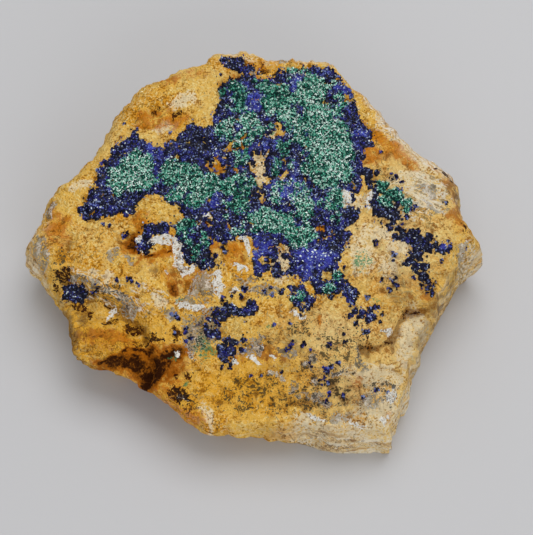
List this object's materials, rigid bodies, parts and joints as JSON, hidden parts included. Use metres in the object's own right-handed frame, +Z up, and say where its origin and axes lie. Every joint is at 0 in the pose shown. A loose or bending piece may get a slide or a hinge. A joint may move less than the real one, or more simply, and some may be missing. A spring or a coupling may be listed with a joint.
{
  "type": "azurite specimen",
  "caption": "Hand-sized slab of yellow limonite rock with drusy blue azurite and green malachite crusts on its sloping upper face, resting on its flat underside for display.",
  "frame": {"origin": "on the flat underside, below the middle of the bounding box", "axes": "+Z up, away from the surface the stone rests on; -Y towards the thin front edge, +Y towards the thick back; +X to the right, along the longest side"},
  "size_m": [0.1118, 0.0974, 0.0312],
  "materials": {
    "limonite_rock": "matt, broken, yellow-ochre with brown and cream stains",
    "azurite": "drusy, sparkling, deep blue",
    "malachite": "velvety, fine needles, green"
  },
  "bodies": {
    "root": {"matrix": "limonite_rock", "azurite_main": "azurite", "azurite_crown": "azurite", "azurite_right_upper": "azurite", "azurite_right_band": "azurite", "azurite_rosette": "azurite", "azurite_cluster": "azurite", "azurite_vein": "azurite", "azurite_low": "azurite", "azurite_foot": "azurite", "azurite_ledge": "azurite", "malachite_left": "malachite", "malachite_middle": "malachite", "malachite_upper": "malachite", "malachite_band": "malachite", "malachite_corner": "malachite", "malachite_lower": "malachite", "malachite_right": "malachite"}
  },
  "joints": []
}
